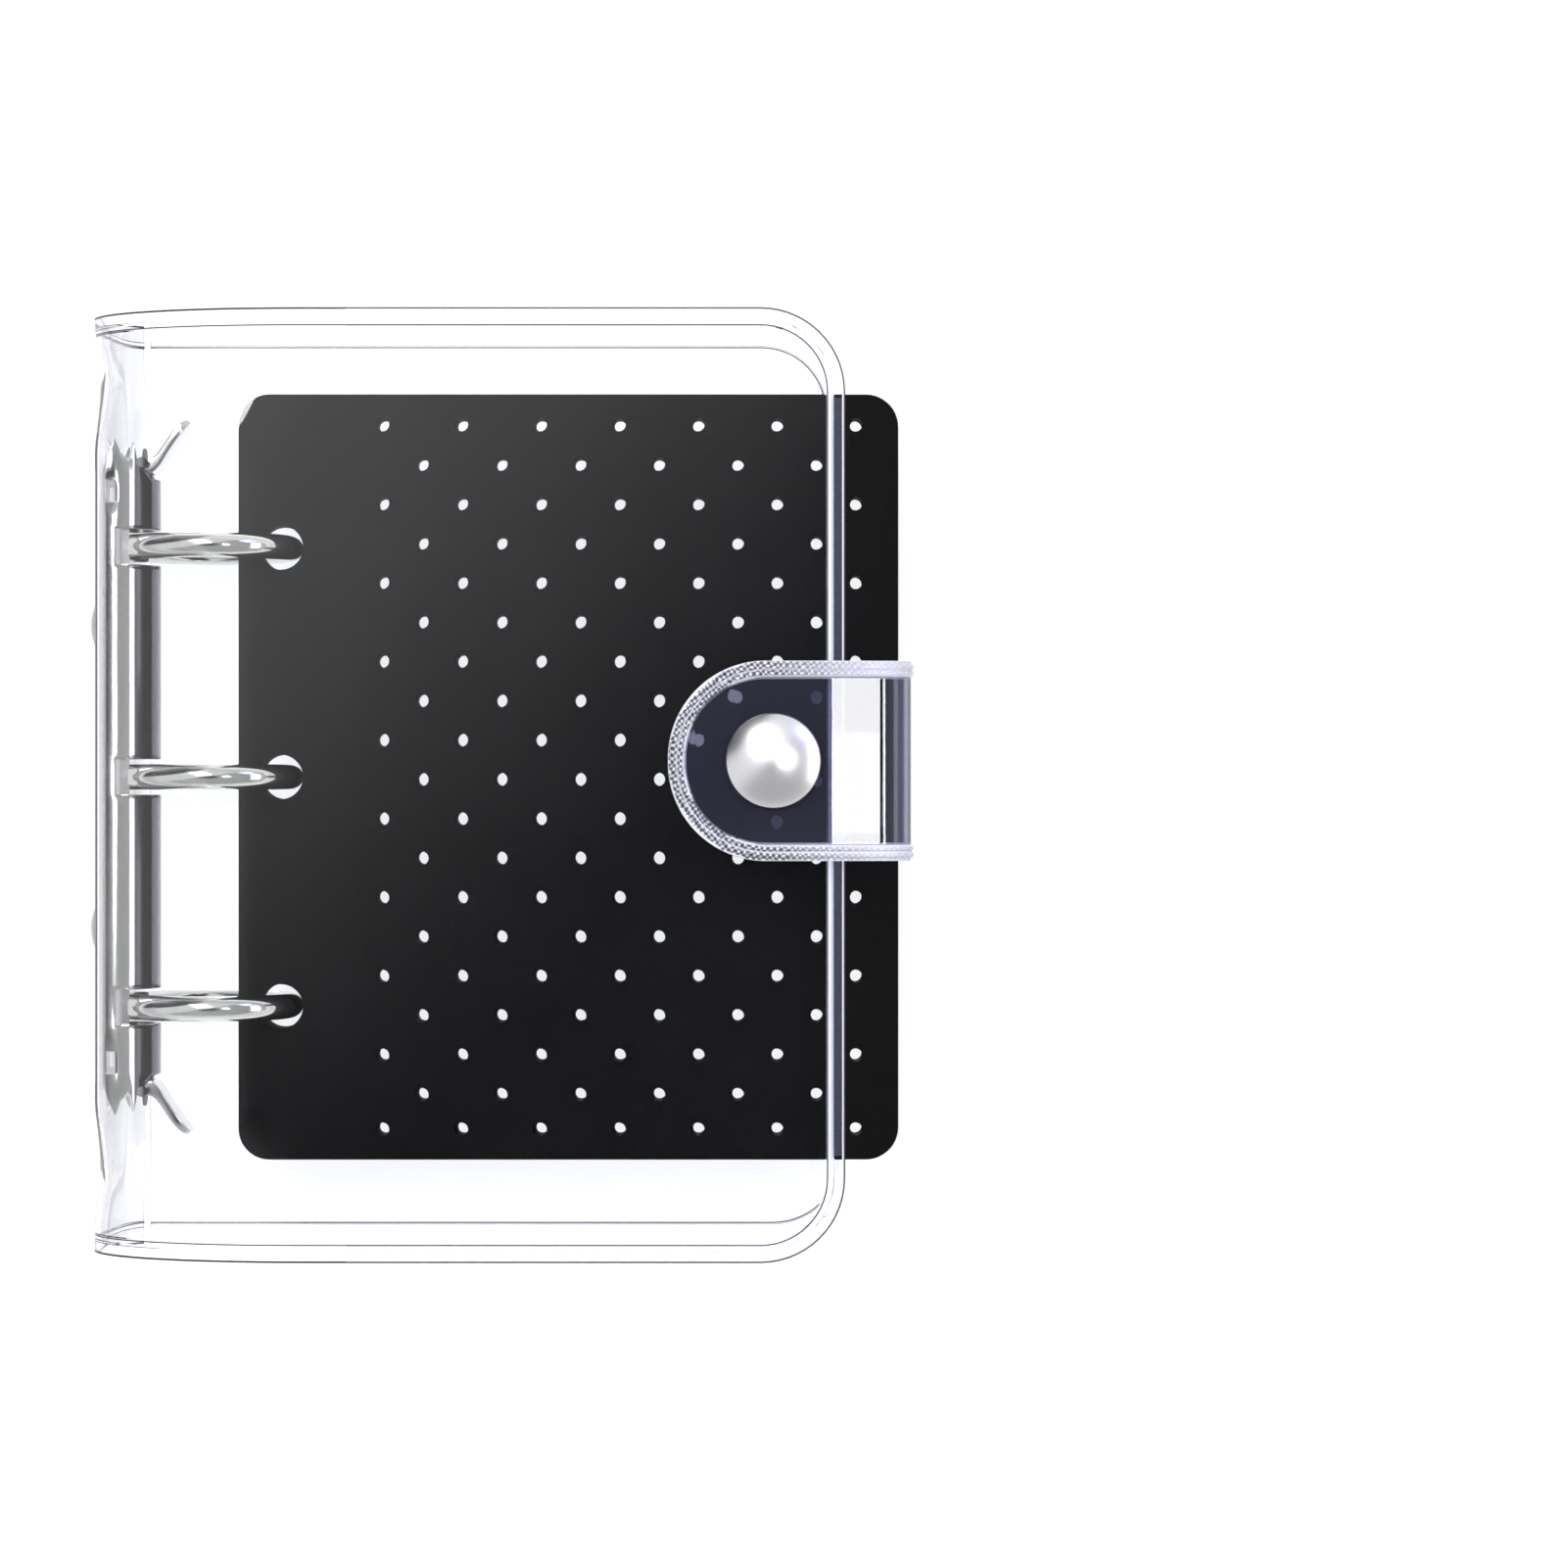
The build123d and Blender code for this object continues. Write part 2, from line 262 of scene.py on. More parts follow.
def new_material(name):
    """An empty material, its node tree and its output."""
    material = bpy.data.materials.new(name)
    material.use_nodes = True
    material.node_tree.nodes.clear()
    output = material.node_tree.nodes.new("ShaderNodeOutputMaterial")
    return material, material.node_tree, output


def let_light_through(tree, output, surface, tint):
    """Joins a see-through surface to the output. Its shadow is only tinted."""
    clear = add(tree, "BsdfTransparent", {"Color": colour(tint)})
    lamp = add(tree, "LightPath").outputs["Is Shadow Ray"]
    mixed = add(tree, "MixShader", {0: lamp, 1: surface.outputs["BSDF"], 2: clear.outputs["BSDF"]})
    tree.links.new(mixed.outputs[0], output.inputs["Surface"])


def make_clear_vinyl(name, tint, roughness, wave_height, clearness=1.0, spine_shade_tint=None):
    """Calendered clear PVC: glossy and glass-clear, with slow waves that bend what is behind it."""
    material, tree, output = new_material(name)
    place = add(tree, "TexCoord").outputs["Object"]
    # Slow waves about 40 mm long, from the sheet being soft
    waves = add(tree, "TexNoise", {"Vector": place, "Scale": 25.0, "Detail": 1.0})
    bump = add(tree, "Bump", {
        "Height": waves.outputs["Fac"], "Strength": 1.0, "Distance": wave_height * mm})
    vinyl = add(tree, "BsdfPrincipled", {
        "Base Color": colour(tint), "Roughness": roughness, "IOR": vinyl_index,
        "Transmission Weight": clearness, "Normal": bump.outputs["Normal"]})
    if spine_shade_tint:
        # Where the sheet rounds the spine its colour is painted grey: painted shade for the grey the eye
        # sees looking along the bent sheet
        x = add(tree, "SeparateXYZ", {"Vector": place}).outputs["X"]
        bend = add(tree, "MapRange", {"Value": x, "From Min": full_grey_x * mm, "From Max": no_grey_x * mm},
                   interpolation_type="SMOOTHSTEP")
        tone = add(tree, "MixRGB", {
            "Fac": bend.outputs[0], "Color1": colour(spine_shade_tint), "Color2": colour(tint)})
        tree.links.new(tone.outputs[0], vinyl.inputs["Base Color"])
    let_light_through(tree, output, vinyl, "#f4f5f8")
    return material


def make_welded_vinyl():
    """Clear PVC pressed by a hatched welding bar: frosted silver, with fine crossed ribs."""
    material, tree, output = new_material("hatch_welded_vinyl")
    place = add(tree, "TexCoord").outputs["Object"]
    # Ribs as pressed by the bar, in two directions
    hatch = []
    for degrees in (52, -38):
        turned_place = add(tree, "Mapping", {"Vector": place, "Rotation": (0, 0, math.radians(degrees))})
        hatch.append(add(tree, "TexWave", {
            "Vector": turned_place.outputs[0], "Scale": rib_scale, "Distortion": 6.0, "Detail": 3.0}))
    both = add(tree, "Mix", {0: 0.5, 2: hatch[0].outputs["Fac"], 3: hatch[1].outputs["Fac"]})
    bump = add(tree, "Bump", {"Height": both.outputs[0], "Strength": 1.0, "Distance": 0.06 * mm})
    shade = add(tree, "ValToRGB", {"Fac": both.outputs[0]})
    for step, level, tint in zip(shade.color_ramp.elements, (0.3, 0.9), ("#3c3d4c", "#f0f0f8")):
        step.position = level
        step.color = colour(tint)
    # Towards the fold the rim is painted lighter, and the ribs melt into an even frost
    x = add(tree, "SeparateXYZ", {"Vector": place}).outputs["X"]
    even = add(tree, "MapRange", {"Value": x, "From Min": cap_x * mm, "From Max": (open_x + 4) * mm,
                                  "To Min": 0.0, "To Max": 0.85})
    tone = add(tree, "MixRGB", {
        "Fac": even.outputs[0], "Color1": shade.outputs["Color"], "Color2": colour("#dfe0ec")})
    vinyl = add(tree, "BsdfPrincipled", {
        "Base Color": tone.outputs[0], "Roughness": 0.28, "IOR": vinyl_index,
        "Transmission Weight": 0.35, "Normal": bump.outputs["Normal"]})
    let_light_through(tree, output, vinyl, "#e6e6ec")
    return material


def make_plated_metal(name, tint, rough_low, rough_high, grain, stretch, depth):
    """Nickel-plated steel: a bright mirror with faint draw lines of the strip or wire under the plate."""
    material, tree, output = new_material(name)
    place = add(tree, "TexCoord").outputs["Object"]
    along = add(tree, "Mapping", {"Vector": place, "Scale": stretch})
    lines = add(tree, "TexNoise", {"Vector": along.outputs[0], "Scale": grain, "Detail": 3.0})
    rough = add(tree, "MapRange", {
        "Value": lines.outputs["Fac"], "To Min": rough_low, "To Max": rough_high})
    bump = add(tree, "Bump", {"Height": lines.outputs["Fac"], "Strength": 1.0, "Distance": depth * mm})
    metal = add(tree, "BsdfPrincipled", {
        "Base Color": colour(tint), "Metallic": 1.0, "Roughness": rough.outputs[0],
        "Normal": bump.outputs["Normal"]})
    tree.links.new(metal.outputs[0], output.inputs["Surface"])
    return material


def make_black_page():
    """Matte black polypropylene board: a fine pebbled grain with a soft sheen."""
    material, tree, output = new_material("grained_black_polypropylene")
    place = add(tree, "TexCoord").outputs["Object"]
    # Pebble grain 0.35 mm across, drawn a little coarse so that it shows
    grain = add(tree, "TexVoronoi", {"Vector": place, "Scale": 2800.0})
    cloud = add(tree, "TexNoise", {"Vector": place, "Scale": 60.0, "Detail": 3.0})
    bump = add(tree, "Bump", {"Height": grain.outputs["Distance"], "Strength": 0.25, "Distance": 0.04 * mm})
    rough = add(tree, "MapRange", {"Value": cloud.outputs["Fac"], "To Min": 0.5, "To Max": 0.6})
    tone = add(tree, "MixRGB", {
        "Fac": cloud.outputs["Fac"], "Color1": colour("#09090a"), "Color2": colour("#0d0d0e")})
    board = add(tree, "BsdfPrincipled", {
        "Base Color": tone.outputs[0], "Roughness": rough.outputs[0], "Specular IOR Level": 0.04,
        "Normal": bump.outputs["Normal"]})
    tree.links.new(board.outputs[0], output.inputs["Surface"])
    return material


# The last colour is the painted shade of the spine's bend
clear_vinyl = make_clear_vinyl("calendered_clear_vinyl", "#fafbfd", 0.015, 0.06, 1.0, "#e0e0e3")
# The strap's bluish grey base colour is painted sheen: the slate look it has over the dark pages
strap_sheen_vinyl = make_clear_vinyl("thick_vinyl_painted_sheen", "#7e8096", 0.02, 0.03, 0.94)
# A bluish seam vinyl, laid only where the seam lies over the pages: painted sheen
seam_sheen_vinyl = make_clear_vinyl("seam_vinyl_painted_sheen", "#d4daf0", 0.03, 0.02, 0.965)
weld_frost = make_clear_vinyl("pressed_vinyl_weld", "#eeeff6", 0.25, 0.02, 0.35)
# Nearly black vinyl for the line at the cut edge and at the weld's wall: painted shade for the dark lines
# these edges show
edge_shade_vinyl = make_clear_vinyl("cut_vinyl_edge_painted_shade", "#1c1c21", 0.45, 0.02, 0.0)
welded_vinyl = make_welded_vinyl()
# Draw lines are long along the strip, and short across the wire
strip_lines, wire_lines, even_grain = (1, 0.08, 1), (0.2, 1, 0.2), (1, 1, 1)
shell_plate = make_plated_metal("nickel_plated_strip", "#cfcfcc", 0.07, 0.16, 900.0, strip_lines, 0.004)
ring_plate = make_plated_metal("nickel_plated_wire", "#d2d2cf", 0.06, 0.13, 1200.0, wire_lines, 0.003)
# A darker plate for the shell's crown: painted shade, standing in for the dark reflection along the crown
crown_painted_shade_plate = make_plated_metal("nickel_plated_strip_painted_shade", "#6c6c70", 0.1, 0.18, 900.0, strip_lines, 0.004)
rivet_plate = make_plated_metal("nickel_plated_rivet", "#8a8a8c", 0.12, 0.22, 900.0, even_grain, 0.003)
cap_plate = make_plated_metal("satin_pearl_nickel", "#dcdbe0", 0.29, 0.31, 2200.0, even_grain, 0.0001)
black_page = make_black_page()


def dress(piece, *materials):
    """Gives a piece its materials in order."""
    piece.data.materials.clear()
    for material in materials:
        piece.data.materials.append(material)


def paint(piece, number, wanted):
    """Gives the picked faces another of the piece's materials."""
    for face in piece.data.polygons:
        if wanted(face.center / mm, face.normal):
            face.material_index = number


# Lines that the sheets follow, seen from the foot of the book
def walk(points):
    """Lengths along a line of points."""
    lengths = [0.0]
    for a, b in zip(points, points[1:]):
        lengths.append(lengths[-1] + math.dist(a, b))
    return lengths


def arc(centre, radii, start, end, steps):
    """Points of an elliptical arc, its angles in degrees."""
    turns = [math.radians(start + (end - start) * n / steps) for n in range(steps + 1)]
    return [(centre[0] + radii[0] * math.cos(a), centre[1] + radii[1] * math.sin(a)) for a in turns]


def point_at(line, lengths, reach):
    """The place at a length along a line."""
    reach = min(max(reach, 0.0), lengths[-1])
    n = 0
    while n < len(lengths) - 2 and lengths[n + 1] < reach:
        n += 1
    share = (reach - lengths[n]) / (lengths[n + 1] - lengths[n])
    return tuple(a + (b - a) * share for a, b in zip(line[n], line[n + 1]))


def ease(value):
    """A soft step from 0 to 1."""
    value = min(max(value, 0.0), 1.0)
    return value * value * (3 - 2 * value)


def wrap(piece, start_x, route, side):
    """Lays a flat piece along a route. The side is -1 for one towards the spine, and 1 for one away."""
    for point in piece.data.vertices:
        flat = point.co / mm
        reach = (flat.x - start_x) * side
        here = route(reach, flat.y)
        before = route(reach - 0.3, flat.y)
        after = route(reach + 0.3, flat.y)
        way = Vector((after[0] - before[0], after[1] - before[1])).normalized()
        x = here[0] - way.y * flat.z * side
        z = here[1] + way.x * flat.z * side
        point.co = Vector((x, flat.y, z)) * mm


# Front cover and spine, one sheet that bends at the front fold.
# At the middle of the book it slopes to the spine, drops straight and turns under in a small round
slope = (21.5, 8)
slope_foot = 24
turn = 4
middle_line = [(open_x, cover_top)] + arc((spine_x + slope[0], slope_foot), slope, 90, 180, 40)
middle_line += [(spine_x, turn)] + arc((spine_x + turn, turn), (turn, turn), 180, 262, 10)
# At its loose ends it is one wide round above the spine's middle and another below it
round_start_x = -22.0
round_middle_z = 15.0
upper_round = (29.6, cover_top - round_middle_z)
lower_round = (5.4, 14.9)
lower_round_x = -46.2
end_line = [(open_x, cover_top)] + arc((round_start_x, round_middle_z), upper_round, 90, 180, 48)
end_line += arc((lower_round_x, round_middle_z), lower_round, 184, 257, 24)
middle_lengths = walk(middle_line)
end_lengths = walk(end_line)
bend_start = open_x - round_start_x
# The shell and rivets hold the sheet this far from the mechanism's middle
held_half = 43


def cover_route(reach, y):
    """The skin of the spine and front cover: held in by the rivets, slack and round at its ends."""
    tail = (end_lengths[-1] - bend_start) / (middle_lengths[-1] - bend_start)
    end_reach = reach if reach < bend_start else bend_start + (reach - bend_start) * tail
    a = point_at(middle_line, middle_lengths, reach)
    b = point_at(end_line, end_lengths, end_reach)
    share = ease((abs(y - mechanism_y) - held_half) / (half_height - held_half)) ** 0.85
    if reach < 0:
        return (open_x - reach, cover_top)
    return (a[0] + (b[0] - a[0]) * share, a[1] + (b[1] - a[1]) * share)


# A cover's edge, as distances from its cut edge inwards
cover_corner = 11.2
cut_line = 0.2
frost_end = 0.4
seam_end = 1.75
weld_start = 1.85
weld_end = 2.25
weld_wall = 2.43
weld_depth = 0.09
pair_thick = 0.9


def edge_distance(place):
    """How far a flat place is inside the cover's rounded outline."""
    dx = open_x - place.x
    dy = half_height - abs(place.y)
    if dx < cover_corner and dy < cover_corner:
        return cover_corner - math.hypot(cover_corner - dx, cover_corner - dy)
    return min(dx, dy)


def sheet_stack(name, start_x):
    """A flat blank for a welded pair of sheets, with round corners and the rings of its welded edge."""
    # The rings run on past the blank's start, which is cut off after them
    spare = 6
    piece = blank(name, (start_x - spare, open_x), (-half_height, half_height))
    round_corners(piece, lambda p, n: p.x > open_x - 1, cover_corner, 14)
    inset_rings(piece, (cut_line, frost_end, seam_end, weld_start, weld_end, weld_wall))
    trim(piece, "X", start_x, False)
    return piece


def press_groove(piece, depth):
    """Presses the welded band into the skin."""
    shape = bmesh.from_edit_mesh(piece.data)
    for point in shape.verts:
        if weld_start - 0.05 < edge_distance(point.co / mm) < weld_end + 0.05:
            point.co.z -= depth * mm
    bmesh.update_edit_mesh(piece.data)


def thicken(piece, depth):
    """Gives a flat skin its thickness, below it, with a softened rim."""
    rest()
    modify(piece, "SOLIDIFY", thickness=depth * mm, offset=-1)
    outward(piece)
    soften(piece, 0.28)


def paint_weld_wall_shade(piece):
    """Paints the inner wall of a cover's weld near black: painted shade for its dark line."""
    paint(piece, 2, lambda p, n: weld_end < edge_distance(p) < weld_wall)


def paint_front(piece):
    """Gives the front cover its frosted bands, the dark line of its cut edge and weld wall as painted shade,
    and the seam between them, painted with a bluish sheen over the pages.
    """
    paint(piece, 1, lambda p, n: p.x > 0 and (
        edge_distance(p) < frost_end or weld_start - 0.03 < edge_distance(p) < weld_end))
    paint_weld_wall_shade(piece)
    # The cut edge's dark line is painted shade
    paint(piece, 2, lambda p, n: edge_distance(p) < cut_line - 0.03)
    # Against the pages the seam gets a bluish tint, a painted sheen over their dark. The eye sees their ends
    # further in than they are
    seen_in = 1.9
    seam_low, seam_high = low("page_1").y + seen_in, high("page_1").y - seen_in
    paint(piece, 3, lambda p, n: p.x > open_x - 2 and seam_low < p.y < seam_high
          and frost_end < edge_distance(p) < seam_end)


def make_front_and_spine():
    """Front cover and spine in one bent sheet."""
    flat_end = open_x - middle_lengths[-1]
    piece = sheet_stack("front_cover_and_spine", flat_end)
    press_groove(piece, weld_depth)
    # Columns where the sheet bends, and rows where its loose ends droop. No row falls on a corner's point
    column_step = 1.4
    bent_length = open_x - bend_start + 8 - flat_end
    cut(piece, "X", [flat_end + column_step * n for n in range(1, int(bent_length / column_step))])
    first_row = 43.43
    row_step = 1.35
    rows = [first_row + row_step * n for n in range(14)]
    cut(piece, "Y", [mechanism_y + y for y in rows] + [mechanism_y - y for y in rows])
    thicken(piece, pair_thick)
    dress(piece, clear_vinyl, weld_frost, edge_shade_vinyl, seam_sheen_vinyl)
    paint_front(piece)
    wrap(piece, open_x, cover_route, -1)
    smooth(piece, 20)
    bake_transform(piece)
    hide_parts("front_cover_sheet", "front_cover_liner", "front_cover_weld",
                "spine_sheet", "spine_liner", "spine_weld")


def make_back():
    """Back cover, flat on the table, with its weld pressed from below."""
    piece = sheet_stack("back_cover", back_fold_x)
    press_groove(piece, -weld_depth)
    rest()
    for point in piece.data.vertices:
        point.co.z = -point.co.z
    modify(piece, "SOLIDIFY", thickness=pair_thick * mm, offset=1)
    outward(piece)
    soften(piece, 0.16)
    edit(piece)
    floor_at = min(point.co.z for point in bmesh.from_edit_mesh(piece.data).verts)
    bpy.ops.mesh.select_all(action="SELECT")
    bpy.ops.transform.translate(value=(0, 0, -floor_at))
    rest()
    dress(piece, clear_vinyl, weld_frost, edge_shade_vinyl)
    paint_weld_wall_shade(piece)
    # The loose lower corner sways past the front cover's
    sway = 1.9
    for point in piece.data.vertices:
        share = ease((-point.co.y / mm - 30) / 25) * ease((point.co.x / mm - 10) / 40)
        point.co.x += sway * share * mm
    smooth(piece, 20)
    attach(piece, "back_cover")
    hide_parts("back_cover_sheet", "back_cover_liner", "back_cover_weld")


# Strap: flap and band in one bent length, with a frosted welded rim
strap_bottom = low("strap_band").z
# Two creases with a flat facet between them, then a round shoulder and a round foot
bend_x = (strap_outer - 10.6, strap_outer - 4.25)
facet_drop = 0.8
shoulder = 4.2
foot = 3.2
strap_line = [(strap_end, strap_top), (bend_x[0], strap_top), (bend_x[1], strap_top - facet_drop)]
shoulder_z = strap_top - facet_drop - shoulder
strap_line += arc((strap_outer - shoulder, shoulder_z), (shoulder, shoulder), 84, 0, 20)
strap_line += [(strap_outer, strap_bottom + foot)]
strap_line += arc((strap_outer - foot, strap_bottom + foot), (foot, foot), 0, -87, 16)
strap_lengths = walk(strap_line)
# The strap's edge, as distances from its cut edge inwards
rim_rings = (0.35, 0.6, 1.05, 1.25, 1.45, 1.9, 2.1, 2.4)
rib_bands = ((0.5, 1.1), (1.35, 2.0))
rib_height = 0.32
bright_lines = ((-1.0, 0.12), (1.05, 1.25), (1.9, 2.12))
rim_end = 2.12
strap_thick = 0.9


def within(value, bands):
    """Whether a value is in one of the bands."""
    return any(start < value < end for start, end in bands)


def strap_route(reach, y):
    """The strap's skin, from its round end over the front, down the open edge and under."""
    if reach < 0:
        return (strap_end + reach, strap_top)
    return point_at(strap_line, strap_lengths, reach)


def rim_distance(place):
    """How far a flat place is inside the strap's outline."""
    to_centre = strap_end + strap_half - place.x
    if to_centre > 0:
        return strap_half - math.hypot(to_centre, place.y - strap_y)
    return strap_half - abs(place.y - strap_y)


def make_strap():
    """The flap and band of the strap, its rim pressed in two ribs."""
    flat_end = strap_end + strap_lengths[-1]
    piece = blank("strap", (strap_end, flat_end + 6), (strap_low_y, strap_high_y))
    round_corners(piece, lambda p, n: p.x < strap_end + 1, strap_half - 0.3, 36)
    inset_rings(piece, rim_rings)
    trim(piece, "X", flat_end, True)
    shape = bmesh.from_edit_mesh(piece.data)
    for point in shape.verts:
        if within(rim_distance(point.co / mm), rib_bands):
            point.co.z += rib_height * mm
    bmesh.update_edit_mesh(piece.data)
    # Columns over the facet, round the shoulder and round the foot
    shoulder_x = strap_end + strap_lengths[2]
    cut(piece, "X", [bend_x[0] + 0.9 * n for n in range(8)] + [shoulder_x + 0.45 * n for n in range(15)]
        + [flat_end - 0.6 * n for n in range(1, 9)])
    thicken(piece, strap_thick)
    flat_faces = [(face.index, face.center / mm) for face in piece.data.polygons]
    wrap(piece, strap_end, strap_route, 1)
    dress(piece, strap_sheen_vinyl, welded_vinyl, weld_frost)
    for number, middle in flat_faces:
        away = rim_distance(middle)
        if away < rim_end:
            piece.data.polygons[number].material_index = 2 if within(away, bright_lines) else 1
    smooth(piece, 20)
    # The flat facet between the two creases keeps sharp sides
    edit(piece)
    pick(piece, "EDGE", lambda p, e: p.z > strap_top - 2.2 and any(
        all(abs(point.co.x / mm - x) < 0.15 for point in e.verts) for x in bend_x))
    bpy.ops.mesh.mark_sharp()
    rest()
    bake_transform(piece)
    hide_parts("strap_band", "strap_band_rim", "strap_flap", "strap_flap_rim")


def make_tongue():
    """The strap's end that is welded to the back cover."""
    x = (low("strap_tongue").x, high("strap_tongue").x)
    z = (low("strap_tongue").z, high("strap_tongue").z)
    piece = blank("strap_tongue_sheet", x, (strap_low_y, strap_high_y))
    round_corners(piece, lambda p, n: p.x < x[0] + 1, 2.4, 6)
    inset_rings(piece, (1.2, 1.6))
    rest()
    modify(piece, "SOLIDIFY", thickness=(z[1] - z[0]) * mm, offset=-1)
    outward(piece)
    soften(piece, 0.16)
    edit(piece)
    bpy.ops.mesh.select_all(action="SELECT")
    bpy.ops.transform.translate(value=(0, 0, z[1] * mm))
    rest()
    dress(piece, strap_sheen_vinyl)
    smooth(piece, 20)
    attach(piece, "back_cover")
    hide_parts("strap_tongue")


# Turned pieces: a profile spun about an axis
def turned(name, profile, centre, along, steps=64):
    """Spins a profile of (radius, height) points about a centre. Its height runs along Z or -X."""
    rest()
    bpy.ops.mesh.primitive_circle_add(vertices=steps, radius=profile[0][0] * mm, fill_type="NGON")
    piece = bpy.context.object
    piece.name = name
    edit(piece)
    bpy.ops.mesh.select_all(action="SELECT")
    bpy.ops.transform.translate(value=(0, 0, profile[0][1] * mm))
    before = profile[0]
    for radius, height in profile[1:]:
        step = (0, 0, (height - before[1]) * mm)
        bpy.ops.mesh.extrude_region_move(TRANSFORM_OT_translate={"value": step})
        ratio = radius / before[0]
        bpy.ops.transform.resize(value=(ratio, ratio, 1), center_override=(0, 0, height * mm))
        before = (radius, height)
    if along == "-X":
        bpy.ops.mesh.select_all(action="SELECT")
        shape = bmesh.from_edit_mesh(piece.data)
        for point in shape.verts:
            point.co = Vector((-point.co.z, point.co.y, point.co.x))
        bmesh.update_edit_mesh(piece.data)
    bpy.ops.mesh.select_all(action="SELECT")
    bpy.ops.transform.translate(value=Vector(centre) * mm)
    outward(piece)
    return piece


def add_dome(profile, full_radius, rise, steps, pole_radii):
    """Adds a dome to a profile, from its last point up, with small rings at the pole."""
    edge, lip = profile[-1]
    ball = (full_radius ** 2 + rise ** 2) / (2 * rise)
    for radius in [edge * math.cos(math.pi / 2 * n / steps) for n in range(1, steps)] + pole_radii:
        share = (math.sqrt(ball ** 2 - radius ** 2) - math.sqrt(ball ** 2 - full_radius ** 2)) / rise
        profile.append((radius, lip + (rise - lip) * share))


def make_cap():
    """The snap's pearl cap: a low dome with a rolled lip, and its post."""
    r = cap_half
    profile = [(1.5, -0.9), (1.5, 0.0), (r - 0.5, 0.02), (r - 0.12, 0.12), (r, 0.36), (r - 0.1, 0.6)]
    add_dome(profile, r, cap_top - strap_top, 15, [0.35, 0.12])
    piece = turned("snap_cap_dome", profile, (cap_x, strap_y, strap_top), "Z", 96)
    dress(piece, cap_plate)
    smooth(piece, 50)
    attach(piece, "strap_flap")
    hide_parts("snap_cap")


def make_rivet(end):
    """A domed rivet head with a rolled foot, and its post through the spine."""
    node = "rivet_" + end
    head = (high(node).y - low(node).y) / 2
    y = (low(node).y + high(node).y) / 2
    post_length = high(node).x - spine_x
    profile = [(1.7, -post_length), (1.7, 0.0), (head - 0.3, 0.0), (head, 0.18), (head - 0.12, 0.42)]
    add_dome(profile, head, spine_x - low(node).x, 11, [0.2])
    piece = turned(node + "_head", profile, (spine_x, y, middle_z), "-X", 48)
    dress(piece, rivet_plate)
    smooth(piece, 40)
    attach(piece, "spine")
    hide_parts(node)


# Ring mechanism
shell_radius = (shell_half ** 2 + (shell_crown - shell_base) ** 2) / (2 * (shell_crown - shell_base))
shell_span = math.degrees(math.acos((shell_base - shell_crown + shell_radius) / shell_radius))
# The shell's pressed end, as (angle round the arch, how far short of the ears)
half_ends = [(28, -5.2), (42, -3.8), (47, -2.6), (50, -0.4), (53, -2.4), (57, -2.9), (66, -1.5), (71, 0.0),
             (80, -2.6), (shell_span, -4.5)]
shell_ends = [(-a, drop) for a, drop in reversed(half_ends)] + half_ends


def end_drop(degrees):
    """How far the shell's shaped end falls short of its ears at an angle round the arch."""
    for (a, drop_a), (b, drop_b) in zip(shell_ends, shell_ends[1:]):
        if a <= degrees <= b:
            return drop_a + (drop_b - drop_a) * (degrees - a) / (b - a)
    return shell_ends[-1][1]


def make_shell():
    """The arched shell: pressed strip with eared ends, notched for the rings, with a hole by each ear, and
    its crown painted darker as shade.
    """
    notch = 2.4
    hole_turn = (71, 80)
    hole_in = (5.7, 8.6)
    piece = blank("mechanism_shell", (-shell_span, shell_span), (shell_foot, shell_head))
    columns = [a for a, _ in shell_ends[1:-1]] + [-22, -15, -8, 0, 8, 15, 22]
    cut(piece, "X", columns)
    rows = [y + s for y in ring_y for s in (-notch - 0.7, -notch, notch, notch + 0.7)]
    rows += [shell_head - s for s in (5.7, 6.2, 8.1, 8.6)]
    rows += [shell_foot + s for s in (5.7, 6.2, 8.1, 8.6)]
    cut(piece, "Y", rows)
    pick(piece, "FACE", lambda p, n: any(abs(p.y - y) < notch for y in ring_y) and abs(p.x) < hole_turn[0])
    bpy.ops.mesh.delete(type="FACE")
    pick(piece, "FACE", lambda p, n: within(abs(p.x), [hole_turn])
         and within(mechanism_half - abs(p.y - mechanism_y), [hole_in]))
    bpy.ops.mesh.delete(type="FACE")
    shape = bmesh.from_edit_mesh(piece.data)
    for point in shape.verts:
        flat = point.co / mm
        if flat.y > shell_head - 5.5:
            point.co.y = (shell_head + end_drop(flat.x)) * mm
        if flat.y < shell_foot + 5.5:
            point.co.y = (shell_foot - end_drop(flat.x)) * mm
    bmesh.update_edit_mesh(piece.data)
    rest()
    for point in piece.data.vertices:
        flat = point.co / mm
        turn = math.radians(flat.x)
        x = shell_crown - shell_radius + shell_radius * math.cos(turn)
        point.co = Vector((x, flat.y, middle_z + shell_radius * math.sin(turn))) * mm
    outward(piece)
    # The strip's thickness goes inwards, whichever way the skin's faces turned out
    axis_x = shell_crown - shell_radius
    faces_out = sum(face.normal.x * (face.center.x / mm - axis_x) for face in piece.data.polygons)
    modify(piece, "SOLIDIFY", thickness=0.8 * mm, offset=-1 if faces_out > 0 else 1)
    outward(piece)
    soften(piece, 0.16)
    dress(piece, shell_plate, crown_painted_shade_plate)
    # The faces round the crown get the darker plate: painted shade for the crown's dark reflection
    shaded_crown_turn = math.radians(50)
    paint(piece, 1, lambda p, n: abs(math.atan2(p.z - middle_z, p.x - axis_x)) < shaded_crown_turn)
    smooth(piece, 35)
    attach(piece, "spine")
    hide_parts("ring_shell")


# The lever's middle line from its arm through its hub to the tab's end, and its half thickness there
lever_points = [(-46.0, 42.1), (-44.9, 42.9), (-43.6, 43.1), (-42.6, 43.7), (-41.8, 44.9), (-40.9, 46.3),
                (-39.9, 47.7), (-38.9, 48.8), (-38.3, 49.3)]
lever_half_thick = [0.45, 0.6, 1.1, 0.75, 0.6, 0.6, 0.6, 0.55, 0.3]


